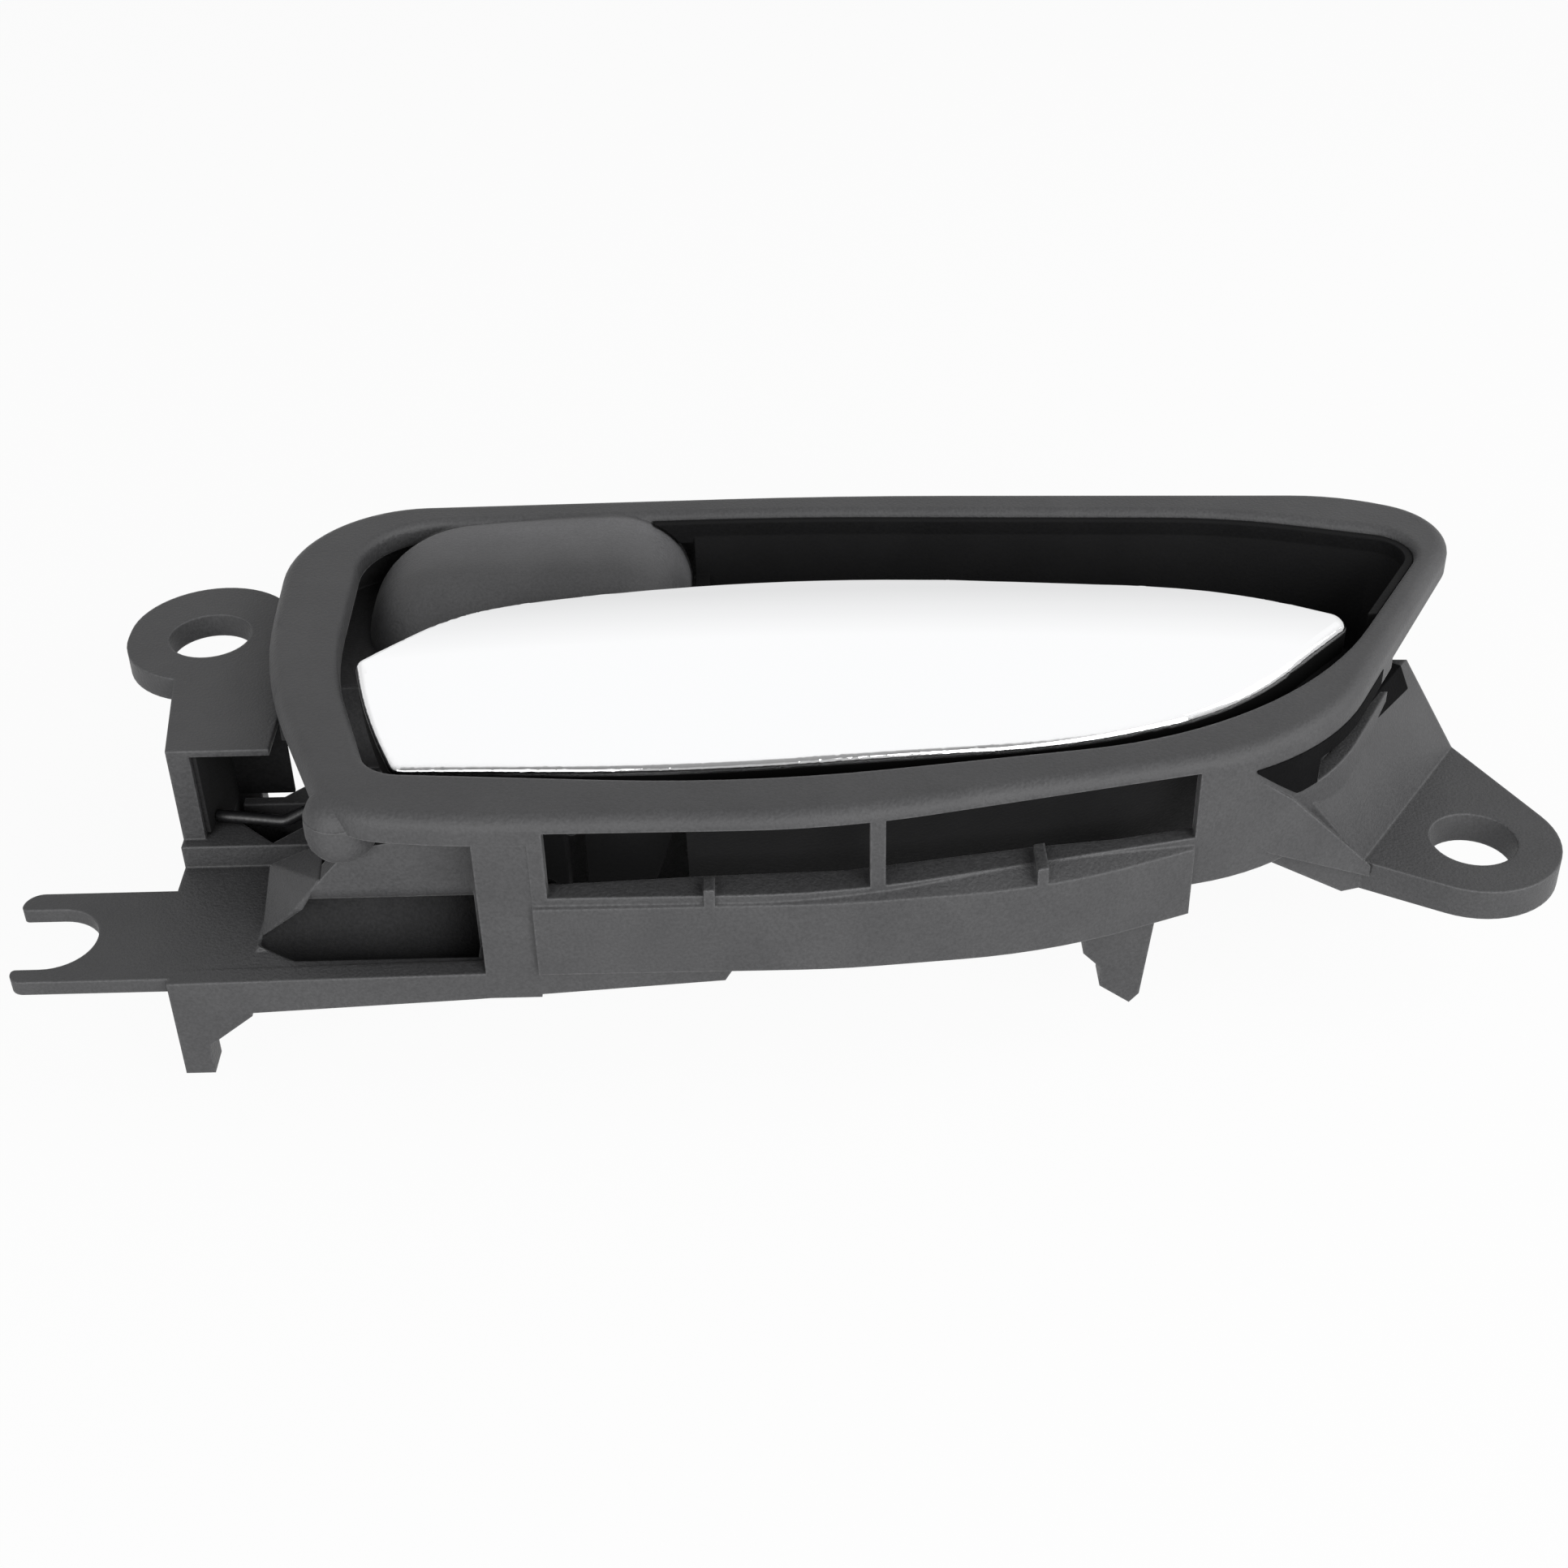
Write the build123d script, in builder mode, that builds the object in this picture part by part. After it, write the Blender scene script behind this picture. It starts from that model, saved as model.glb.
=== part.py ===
from build123d import *
import os
from math import atan2, cos, degrees, radians, sin, sqrt

# Car interior door handle: a moulded housing with its bezel, a black finger cup behind it,
# and a sprung pull lever with a chrome cap that swings out on a pivot pin.
# Frame: millimetres, +X along the handle to the lever's free tip, +Y up the door, +Z to the cabin.
# Origin: centre of the left screw hole, on the back face of its ear.

# Outlines seen from the cabin: corner x, corner y and the radius that rounds it
bezel_corners = [
    (6.8, 18.5, 14.0), (66.0, 19.2, 400.0), (120.5, 16.5, 24.0), (132.9, 10.0, 8.0), (109.4, -31.4, 26.0),
    (64.0, -41.0, 80.0), (30.0, -40.6, 80.0), (18.2, -38.9, 9.0), (8.2, -13.5, 60.0),
]
opening_corners = [
    (14.9, 14.4, 8.5), (60.0, 15.1, 300.0), (108.0, 12.5, 60.0), (128.0, 6.4, 4.5), (107.2, -28.4, 42.0),
    (56.0, -35.2, 120.0), (21.2, -32.2, 4.5), (15.3, -13.0, 50.0),
]
lever_corners = [
    (23.2, -31.2, 1.5), (19.8, -23.5, 60.0), (17.9, -15.2, 1.2), (28.0, -5.9, 20.0), (58.0, -0.8, 150.0),
    (104.0, -4.4, 40.0), (116.6, -10.6, 2.0), (103.0, -25.6, 30.0), (86.0, -30.6, 72.0), (50.0, -32.9, 200.0),
]
dome_corners = [
    (15.8, -7.0, 8.6), (15.8, 17.6, 12.0), (50.0, 24.0, 8.6), (50.0, -2.0, 8.6), (30.0, -2.2, 12.0),
]
skirt_line = [(20.0, -41.0, 0.0), (64.0, -41.3, 80.0), (84.0, -39.6, 60.0), (112.0, -28.8, 0.0)]

# Bezel ring
face_z = 7.5
ring_thickness = 2.4
ring_outer_round = 1.5
ring_inner_round = 0.9
ring_under = face_z - ring_thickness

# Walls that hang from the ring
wall = 1.6
body_bottom = -6.8
rim_wall_drop = 0.4
corner_boss = (18.9, -35.3)
corner_boss_r = 3.3
corner_boss_drop = 4.6
corner_boss_round = 2.6
valley_front = -6.0
valley_top = -0.4
valley_floor = 1.6
left_gap_x = 16.5
left_gap_y = -13.0
seat_gap = 0.2
right_rim_x = 112.0
right_rim_y = -12.5
right_rim_drop = 0.8
shadow_gap_x = 110.0
shadow_gap_drop = 2.0

# Front skirt with its two windows, full ribs and small gussets
skirt_left = 36.3
skirt_right = 97.5
skirt_bottom = -9.9
skirt_crest = -1.3
shelf_thickness = 1.2
shelf_ends = (-38.7, -33.0)
shelf_bends = [(51.3, -37.9), (65.2, -37.5), (82.9, -34.6)]
ledge_drop = 1.0
ledge_width = 2.4
rib_width = 1.4
middle_rib_x = 67.7
gusset_stations = [52.4, 82.8]
gusset_width = 1.0
gusset_rise = 0.9

# Dome over the upper pivot bearing
dome_top = 7.5
dome_round = 8.0
dome_shell = 1.8

# Finger cup
cup_left = 50.3
cup_wall = 1.5
cup_floor_top = -5.5
cup_floor = 1.6
cup_end_top = 1.0
cup_draft = 16.0
liner_wall = 0.8
liner_gap = 0.1
liner_front = -8.0
liner_drop = 0.8
liner_left = 42.0
dome_clear = 0.25

# Pivot: pin along Y, bearing in the front lug and in the dome's front wall
pivot_x = 30.0
pivot_z = 1.0
pin_d = 3.0
pin_seat = 0.01
pin_running = 0.05
end_float = 0.5
lug_half_width = 4.0
lug_front = -36.0
lug_thickness = 3.7
lug_blind = 1.0
nose_wall = 0.8
nose_length = 1.6
rear_boss_r = 3.6
rear_boss_front = -4.2
rear_boss_back = 4.0

# Lever: crowned across, bowed along, a thin chrome cap over a carrier
crown_radius = 64.0
crown_y = -14.0
crown_top = 10.0
bow_radius = 800.0
bow_x = 62.0
bow_half_angle = 5.0
cap_thickness = 1.2
cap_rim = 3.2
cap_edge_round = 1.1
carrier_gap = 0.1
carrier_plate = 1.6
barrel_wall = 1.5
barrel_web = 6.0
coil_front = -25.5
coil_back = -14.0
arm_width = 5.0
arm_thickness = 2.8
arm_bottom = -11.2
front_rib_left = 40.4
front_rib_heel = 46.6
front_rib_right = 48.8
front_rib_low = -8.6
front_rib_knee = -2.2
front_rib_width = 1.4
cable_hole_d = 3.2
cable_slit = 1.4
cable_z = -8.6

# Return spring: coil on the pin, one leg on the tray, one leg behind the arm
wire_d = 1.2
coil_turns = 6
coil_inner_clear = 0.35
coil_end_clear = 0.3
leg_bend = 2.0
tray_leg_end_x = 2.6
tray_leg_end_y = -18.1
tray_leg_knee_x = 9.6
tray_leg_knee_y = -19.4

# Rubber buffer that the lever's arm rests against
bumper_d = 4.0
bumper_z = -5.2
bumper_length = 1.4
bumper_rest = 0.2

# Screw ears
hole_d = 8.5
ear_r = 8.5
ear_thickness = 2.6
ear_rise = 1.3
right_ear_thickness = 3.3
right_hole = (127.7, -23.1)
right_top = -10.5
fold_top = (129.6, -7.0)
fold_bottom = (116.0, -26.2)
strap_rise = 10.8
strap_run = 5.2
strap_root = 4.8
shelf_reach = 2.9
strap_shear = 6.3
strap_heel = 1.2
web_root = (101.8, -32.6)
web_tip = (116.6, -27.0)
web_low = -1.9
web_knee = 3.8
web_knee_low = -5.4
web_tip_low = -11.8

# Left box bracket
strip_front = -21.3
strip_right = 9.7
strip_thickness = 0.7
web_left = -0.3
web_thickness = 2.2
box_back = -6.0
box_right = 4.6
well_bottom = -16.0
well_wall = 1.2

# Tray, fork, cable pocket and clip legs
tray_top = -10.5
tray_thickness = 2.6
tray_front = -40.5
tray_back = -28.7
step_top = -8.0
step_front = -22.6
step_back = -17.4
step_rear = -14.4
step_corner = (11.0, -12.0)
step_right = 13.0
notch_left = 3.6
notch_right = 12.2
notch_side = -18.8
notch_tip = (8.7, -22.2)
floor_thickness = 1.6
floor_front = -26.5
fork_tip_upper = -15.0
fork_tip_lower = -13.6
slot_y = -33.35
slot_width = 9.0
slot_end = -6.5
upper_tine = 2.5
lower_tine = 1.85
block_left = 9.0
block_slope = 10.2
block_face = -36.0
block_top = 1.2
block_top_right = 3.7
block_wall = 2.8
block_shelf = -3.0
block_right = 32.0
pocket_r = 3.6
pocket_y = -34.5
pocket_z = -8.7
pocket_tip_x = 5.5
pocket_shoulder_x = 13.0
trough_left = 14.2
lip_round = 2.2
pocket_end_wall = 1.7
pocket_depth = 3.0
flange_thickness = 2.0
flange_low_left = -14.6
flange_knee_x = 30.0
flange_low_right = -11.6
flange_end_x = 53.5
fork_thickness = 1.5
tip_outer_share = 0.72
tip_inner_share = 0.22
clip_thickness = 3.0
left_clip_x = 1.5
left_clip_width = 2.8
left_clip_bottom = -21.6
clip_brace = 4.6
right_clip_inset = 8.0
right_clip_width = 4.8
right_clip_bottom = -20.4
right_clip_y = -33.4
clip_root = 4.2
hook_reach = 1.8
hook_lead = 2.2


def outline(corners, grow=0.0):
    """Closed face with rounded corners, grown or shrunk by an offset."""
    points = [(x, y) for x, y, r in corners]
    radii = [r for x, y, r in corners]
    with BuildSketch() as face:
        with BuildLine():
            FilletPolyline(*points, radius=radii, close=True)
        make_face()
        if grow:
            offset(amount=grow)
    return face.sketch


def slab(face, low, high):
    """Prism of a face in plan, from one height to another."""
    with BuildPart() as prism:
        with BuildSketch(Plane.XY.offset(low)):
            add(face)
        extrude(amount=high - low)
    return prism.part


def block(x0, x1, y0, y1, z0, z1):
    """Plain block between two corners."""
    with BuildPart() as solid:
        with Locations(((x0 + x1) / 2, (y0 + y1) / 2, (z0 + z1) / 2)):
            Box(x1 - x0, y1 - y0, z1 - z0)
    return solid.part


def crown(drop, low=-20.0):
    """Everything below the lever's doubly curved face, lowered by drop."""
    axis_point = (bow_x, 0, crown_top - bow_radius)
    start = radians(-bow_half_angle)
    section = Plane(origin=axis_point, x_dir=(0, 1, 0), z_dir=(cos(start), 0, -sin(start)))
    top = bow_radius - drop
    reach = 40.0
    sag = crown_radius - sqrt(crown_radius * crown_radius - reach * reach)
    with BuildPart() as barrel:
        with BuildSketch(section):
            with BuildLine():
                ThreePointArc((crown_y - reach, top - sag), (crown_y, top), (crown_y + reach, top - sag))
                Polyline(
                    (crown_y + reach, top - sag),
                    (crown_y + reach, bow_radius + low),
                    (crown_y - reach, bow_radius + low),
                    (crown_y - reach, top - sag),
                )
            make_face()
        revolve(axis=Axis(axis_point, (0, 1, 0)), revolution_arc=2 * bow_half_angle)
    return barrel.part


front_zone = -20.0
plan_reach = max(x for x, y, r in bezel_corners)
far = 2 * plan_reach
wall_outer = outline(bezel_corners)
wall_inner = outline(bezel_corners, -wall)
rim_wall_bottom = ring_under - rim_wall_drop
right_seat = right_top - right_ear_thickness
tray_bottom = tray_top - tray_thickness
slot_upper_y = slot_y + slot_width / 2
slot_lower_y = slot_y - slot_width / 2
fork_upper_y = slot_upper_y + upper_tine
fork_lower_y = slot_lower_y - lower_tine
arm_left = block_right + bumper_length + bumper_rest
pocket_end_x = block_right - pocket_end_wall
right_clip_x = skirt_right - right_clip_inset
floor_bottom = tray_top - floor_thickness
valley_low = valley_top - valley_floor
dome_left = dome_corners[0][0]
lug_back = lug_front + lug_thickness
barrel_front = lug_back + nose_length + end_float
barrel_back = rear_boss_front - end_float
arm_front = barrel_front
lever_low = -20.0
on_end = (Align.CENTER, Align.CENTER, Align.MIN)


def along_pivot(start):
    """Plane across the pivot axis at one Y, facing up the door."""
    return Plane(origin=(pivot_x, start, pivot_z), z_dir=(0, 1, 0))


def dome_solid(inset):
    """Pillow with a flat top and a broad round all along its edge, shrunk by inset."""
    with BuildPart() as pillow:
        add(slab(outline(dome_corners, -inset), tray_top, dome_top - inset))
        fillet(pillow.edges().group_by(Axis.Z)[-1], dome_round - inset)
        add(slab(wall_outer if not inset else wall_inner, tray_top, dome_top), mode=Mode.INTERSECT)
    return pillow.part


def skirt_face():
    """Plan of the skirt's front line, closed well behind it."""
    points = [(x, y) for x, y, r in skirt_line]
    radii = [r for x, y, r in skirt_line[1:-1]]
    with BuildSketch() as face:
        with BuildLine():
            FilletPolyline(*points, radius=radii)
            Polyline(points[-1], (points[-1][0], plan_reach), (points[0][0], plan_reach), points[0])
        make_face()
    return face.sketch


def skirt_solid():
    """Band in front of the wall with a sloping ledge along its top."""
    with BuildPart() as band:
        add(slab(skirt_face(), skirt_bottom, skirt_crest - ledge_drop))
        with BuildSketch(Plane.XY.offset(skirt_crest - ledge_drop)):
            add(skirt_face())
        extrude(amount=ledge_drop, taper=degrees(atan2(ledge_width, ledge_drop)))
        add(slab(wall_inner, skirt_bottom, skirt_crest), mode=Mode.SUBTRACT)
        # shelf behind the ledge, along the windows' lower edge
        with BuildSketch(mode=Mode.PRIVATE) as shelf:
            Polygon(
                (skirt_left, shelf_ends[0]), *shelf_bends, (skirt_right, shelf_ends[1]),
                (skirt_right, -plan_reach), (skirt_left, -plan_reach),
                align=None,
            )
        add(slab(shelf.sketch & outline(bezel_corners), skirt_crest - shelf_thickness, skirt_crest))
        zone = block(skirt_left, skirt_right, -plan_reach, front_zone, skirt_bottom, skirt_crest)
        add(zone, mode=Mode.INTERSECT)
    return band.part


def rib(front, station, width, low, high):
    """Upright rib from a front line to the wall's inner face at one station."""
    with BuildPart() as web:
        add(slab(front - wall_inner, low, high))
        zone = block(station - width / 2, station + width / 2, -plan_reach, front_zone, low, high)
        add(zone, mode=Mode.INTERSECT)
    return web.part


def fork_solid():
    """Flat fork, open to the left, that locates the tray's end."""
    with BuildPart() as fork:
        with BuildSketch(Plane.XY.offset(tray_top - fork_thickness)):
            Polygon(
                (web_left + web_thickness, fork_upper_y),
                (fork_tip_upper, fork_upper_y),
                (fork_tip_upper, slot_y),
                (fork_tip_lower, slot_y),
                (fork_tip_lower, fork_lower_y),
                (web_left + web_thickness, fork_lower_y),
                align=None,
            )
            with Locations((slot_end - slot_width / 2, slot_y)):
                Circle(slot_width / 2, mode=Mode.SUBTRACT)
            with Locations(((slot_end - slot_width / 2 + fork_tip_upper) / 2 - slot_width, slot_y)):
                Rectangle(
                    slot_end - slot_width / 2 - fork_tip_upper + 2 * slot_width,
                    slot_width,
                    mode=Mode.SUBTRACT,
                )
        extrude(amount=fork_thickness)
        for line, tine, share in (
            (fork_upper_y, upper_tine, tip_outer_share),
            (slot_upper_y, upper_tine, tip_inner_share),
            (slot_lower_y, lower_tine, tip_inner_share),
            (fork_lower_y, lower_tine, tip_outer_share),
        ):
            tips = fork.edges().filter_by(Axis.Z).filter_by(lambda e: e.center().X < fork_tip_lower + 0.1)
            fillet(tips.sort_by(lambda e: abs(e.center().Y - line))[0], share * tine)
    return fork.part


def strap_solid():
    """Right bracket: a sloped plate that folds into the flat screw ear."""
    top = Vector(*fold_top)
    along = Vector(*fold_bottom) - top
    length = along.length
    z_dir = along.normalized()
    x_dir = Vector(0, 0, 1).cross(z_dir)
    with BuildPart() as strap:
        with BuildSketch(Plane(origin=top, x_dir=x_dir, z_dir=z_dir)):
            Polygon(
                (0, right_seat),
                (0, right_top),
                (-strap_run, right_top + strap_rise),
                (-strap_run - strap_root, right_top + strap_rise),
                (-strap_run - strap_root, right_top + strap_rise - strap_root),
                (-strap_heel, right_seat),
                align=None,
            )
        extrude(amount=length + 2 * strap_shear, both=True)
        # its ends are slanted in plan
        spread = strap_run + strap_root
        upper = top + z_dir * strap_shear - x_dir * spread
        lower = top + along + z_dir * (strap_shear * spread / strap_run) - x_dir * spread
        with BuildSketch(Plane.XY.offset(right_seat)):
            Polygon(top, top + along, lower, upper, align=None)
        extrude(amount=ring_under - right_seat, mode=Mode.INTERSECT)
        # web along its lower edge, from the wall to the ear
        root = Vector(*web_root)
        run = Vector(*web_tip) - root
        reach = run.length
        with BuildSketch(Plane(origin=root, x_dir=run.normalized(), z_dir=run.cross(Vector(0, 0, 1)))):
            Polygon(
                (0, ring_under),
                (0, web_low),
                (web_knee, web_knee_low),
                (reach, web_tip_low),
                (reach, right_top),
                (reach - strap_run - strap_root, right_top + strap_rise),
                align=None,
            )
        extrude(amount=-wall)
        crest = right_top + strap_rise
        add(slab(wall_inner, right_seat, crest - wall), mode=Mode.SUBTRACT)
        add(slab(outline(bezel_corners, -shelf_reach), crest - wall, ring_under), mode=Mode.SUBTRACT)
        with BuildSketch(Plane.XY.offset(right_seat)):
            with BuildLine():
                CenterArc(right_hole, ear_r, 0, 360)
                Line(fold_top, fold_bottom)
            make_hull()
        extrude(amount=right_ear_thickness)
        with Locations((*right_hole, right_top)):
            Hole(hole_d / 2, depth=right_ear_thickness)
    return strap.part


def corner_solid():
    """Round-ended boss that hangs from the ring's lower left corner."""
    with BuildPart() as boss:
        with Locations((*corner_boss, ring_under - corner_boss_drop)):
            Cylinder(corner_boss_r, corner_boss_drop, align=on_end)
        fillet(boss.edges().group_by(Axis.Z)[0], corner_boss_round)
    return boss.part


def left_bracket():
    """Left ear, with a strip to the top of an open box that stands on the tray."""
    with BuildPart() as bracket:
        with BuildSketch():
            Circle(ear_r)
            with Locations((0, ear_rise)):
                Circle(ear_r)
            with Locations((0, ear_rise / 2)):
                Rectangle(2 * ear_r, ear_rise)
            Circle(hole_d / 2, mode=Mode.SUBTRACT)
        extrude(amount=ear_thickness)
        with BuildSketch(Plane.XY.offset(ear_thickness - strip_thickness)):
            Polygon(
                (web_left - web_thickness, -hole_d / 2 - 1.0),
                (strip_right, 0),
                (strip_right, strip_front),
                (web_left, strip_front),
                align=None,
            )
            Circle(hole_d / 2, mode=Mode.SUBTRACT)
        extrude(amount=strip_thickness)
        strip_under = ear_thickness - strip_thickness
        add(block(web_left, web_left + web_thickness, strip_front, box_back, well_bottom, strip_under))
        add(block(web_left, box_right, box_back - web_thickness, box_back, well_bottom, strip_under))
        add(block(web_left, box_right, step_front, box_back, well_bottom, well_bottom + well_wall))
    return bracket.part


def tray_solid():
    """Tray in front of the pivot: stepped plate, sloped block and front flange."""
    with BuildPart() as tray:
        add(block(left_clip_x, block_right, tray_front, tray_back, tray_bottom, tray_top))
        add(block(web_left, step_right, fork_upper_y, step_front, tray_top - fork_thickness, tray_top))
        add(block(left_clip_x, step_right, tray_back, step_front, tray_bottom, tray_top))
        with BuildSketch(Plane.XY.offset(tray_bottom)):
            Polygon(
                (web_left, step_front), (step_right, step_front), (step_right, step_corner[1]), step_corner,
                (step_corner[0] - step_corner[1] + step_rear, step_rear), (box_right, step_rear),
                (box_right, step_back), (web_left, step_back),
                align=None,
            )
        extrude(amount=step_top - tray_bottom)
        # deep notch under the spring's leg, with its own closed well
        add(block(box_right - well_wall, step_right, step_front, step_rear, well_bottom, tray_bottom))
        with BuildSketch(Plane.XY.offset(well_bottom + well_wall)):
            Polygon(
                (notch_left, step_back), notch_tip, (notch_right, notch_side),
                (notch_right, step_rear - well_wall), (box_right, step_rear - well_wall),
                (box_right, step_back),
                align=None,
            )
        extrude(amount=step_top - well_bottom, mode=Mode.SUBTRACT)
        add(block(step_right, block_right, tray_back, floor_front, floor_bottom, tray_top))
        add(block(step_right, cup_left, floor_front, 0, floor_bottom, tray_top))
        with BuildSketch(Plane.XZ.offset(-tray_back)):
            Polygon(
                (block_left, tray_bottom),
                (block_right, tray_bottom),
                (block_right, block_top_right),
                (block_left + block_slope, block_top),
                (block_left, tray_top),
                align=None,
            )
        extrude(amount=tray_back - block_face)
        # shelf behind the block's front wall, under the lever's barrel
        add(
            block(block_left, block_right, block_face + block_wall, tray_back, block_shelf, block_top_right),
            mode=Mode.SUBTRACT,
        )
        add(block(pocket_end_x + 1.0, skirt_left, tray_front, block_face, tray_bottom, ring_under))
        with BuildSketch(Plane.XZ.offset(-tray_front - flange_thickness)):
            Polygon(
                (left_clip_x, tray_top),
                (left_clip_x, flange_low_left),
                (flange_knee_x, flange_low_right - 1.6),
                (flange_end_x, flange_low_right),
                (flange_end_x + 1.0, skirt_bottom),
                align=None,
            )
        extrude(amount=flange_thickness)
        # cable pocket with a pointed left end
        with BuildSketch(Plane(origin=(0, pocket_y, pocket_z), z_dir=(0, -1, 0), x_dir=(1, 0, 0))):
            Polygon(
                (pocket_tip_x, 0), (pocket_end_x, 0), (pocket_end_x, pocket_r), (pocket_shoulder_x, pocket_r),
                align=None,
            )
        revolve(axis=Axis((0, pocket_y, pocket_z), (1, 0, 0)), mode=Mode.SUBTRACT)
        # the pocket opens to the space behind it, and a slot lets the cable through to the lever's arm
        trough_low = pocket_z - pocket_depth
        trough_high = pocket_z + pocket_depth
        add(
            block(trough_left, pocket_end_x, pocket_y, tray_back, trough_low, trough_high),
            mode=Mode.SUBTRACT,
        )
        # the pocket's upper lip rolls inwards
        lip_z = pocket_z + sqrt(pocket_r**2 - (pocket_y - block_face) ** 2)
        with BuildSketch(Plane.YZ.offset(trough_left)):
            with Locations((block_face, lip_z)):
                Rectangle(lip_round, lip_round, align=(Align.MIN, Align.MIN))
            with Locations((block_face + lip_round, lip_z + lip_round)):
                Circle(lip_round, mode=Mode.SUBTRACT)
        extrude(amount=pocket_end_x - trough_left, mode=Mode.SUBTRACT)
        cable_low = cable_z - cable_slit / 2
        add(
            block(pocket_end_x - 1, block_right, pocket_y, tray_back, cable_low, cable_low + cable_slit),
            mode=Mode.SUBTRACT,
        )
        # left clip leg with a brace on its inner side
        leg_right = left_clip_x + left_clip_width
        with BuildSketch(Plane.XZ.offset(-tray_front - clip_thickness)):
            Polygon(
                (left_clip_x, tray_top),
                (left_clip_x, left_clip_bottom),
                (leg_right, left_clip_bottom),
                (leg_right, flange_low_left - clip_brace + 1.0),
                (leg_right + clip_brace, flange_low_left),
                (leg_right + clip_brace, tray_top),
                align=None,
            )
        extrude(amount=clip_thickness)
    return tray.part


with BuildPart() as housing:
    # bezel ring with a rounded outer edge and a softened inner edge
    add(slab(outline(bezel_corners), ring_under, face_z))
    fillet(housing.edges().group_by(Axis.Z)[-1], ring_outer_round)
    add(slab(outline(opening_corners), ring_under, face_z), mode=Mode.SUBTRACT)
    fillet(housing.faces().sort_by(Axis.Z)[-1].inner_wires()[0].edges(), ring_inner_round)

    # wall under the ring: open at the front left, short at the left end, with windows in front
    add(slab(wall_outer - wall_inner, body_bottom, ring_under))
    add(block(0, left_gap_x, -plan_reach, left_gap_y, body_bottom, ring_under), mode=Mode.SUBTRACT)
    add(block(0, skirt_left, -plan_reach, front_zone, body_bottom, rim_wall_bottom), mode=Mode.SUBTRACT)
    add(block(0, dome_left, left_gap_y, plan_reach, body_bottom, valley_low), mode=Mode.SUBTRACT)
    add(block(skirt_left, skirt_right, -plan_reach, front_zone, skirt_crest, ring_under), mode=Mode.SUBTRACT)

    add(
        block(right_rim_x, far, right_rim_y, plan_reach, body_bottom, ring_under - right_rim_drop),
        mode=Mode.SUBTRACT,
    )
    # dark gap between the ring's lip and the right bracket's crest
    gap_top = ring_under - shadow_gap_drop
    add(
        block(shadow_gap_x, far, -plan_reach, right_rim_y, right_top + strap_rise, gap_top),
        mode=Mode.SUBTRACT,
    )

    # the windows reach up behind the ring's lip
    window_top = face_z - ring_outer_round
    lip_zone = block(skirt_left, skirt_right, -plan_reach, front_zone, skirt_crest, window_top)
    add(slab(wall_outer - wall_inner, skirt_crest, window_top) & lip_zone, mode=Mode.SUBTRACT)
    add(skirt_solid())
    full_rib_low = skirt_crest - ledge_drop
    for station in (skirt_left + rib_width / 2, middle_rib_x):
        add(rib(outline(bezel_corners), station, rib_width, full_rib_low, window_top))
    for station in gusset_stations:
        add(rib(skirt_face(), station, gusset_width, full_rib_low, skirt_crest + gusset_rise))

    add(tray_solid())
    add(fork_solid())
    add(left_bracket())
    add(strap_solid())

    # right clip leg with a hooked foot
    with BuildSketch(Plane.XZ.offset(-right_clip_y - clip_thickness / 2)):
        Polygon(
            (right_clip_x - hook_reach, skirt_bottom + ledge_drop),
            (right_clip_x + right_clip_width, skirt_bottom + ledge_drop),
            (right_clip_x + right_clip_width, skirt_bottom),
            (right_clip_x + right_clip_width - hook_reach / 2, right_clip_bottom + hook_lead / 2),
            (right_clip_x + right_clip_width - hook_reach, right_clip_bottom),
            (right_clip_x, right_clip_bottom + hook_lead),
            (right_clip_x, right_clip_bottom + 2 * hook_lead),
            (right_clip_x - hook_reach, skirt_bottom - clip_root),
            align=None,
        )
    extrude(amount=clip_thickness)

    # rounded boss under the ring's lower left corner
    add(corner_solid())

    # floor of the valley between the dome and the left end wall
    valley = block(0, dome_left + dome_shell, valley_front, plan_reach, valley_low, valley_top)
    add(valley & slab(wall_outer, valley_low, valley_top))
    valley_web = valley_front + valley_floor
    add(block(step_right, dome_left + 2 * dome_shell, valley_front, valley_web, floor_bottom, valley_top))

    # dome, hollow from behind, with the upper bearing boss inside
    add(dome_solid(0))
    add(dome_solid(dome_shell), mode=Mode.SUBTRACT)
    with Locations(along_pivot(rear_boss_front)):
        Cylinder(rear_boss_r, rear_boss_back - rear_boss_front, align=on_end)

    # front bearing lug between the tray's block and the ring, with a short nose round the pin
    lug_left = pivot_x - lug_half_width
    lug_right = pivot_x + lug_half_width
    add(block(lug_left, lug_right, lug_front, lug_back, block_shelf, ring_under))
    with Locations(along_pivot(lug_back)):
        Cylinder(pin_d / 2 + nose_wall, nose_length, align=on_end)

    # pin bores
    with Locations(along_pivot(lug_front + lug_blind)):
        bore_length = rear_boss_back - lug_front - lug_blind
        Cylinder(pin_d / 2 + pin_seat, bore_length, align=on_end, mode=Mode.SUBTRACT)

shell = wall + seat_gap
cup_bottom = cup_floor_top - cup_floor
cup_mouth = outline(opening_corners, -liner_gap - liner_wall)


def bowl(face, low):
    """Drafted hollow that narrows from the ring's underside down to one height."""
    with BuildPart() as hollow:
        with BuildSketch(Plane.XY.offset(ring_under)):
            add(face)
        extrude(amount=low - ring_under, taper=cup_draft)
    return hollow.part


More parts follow.
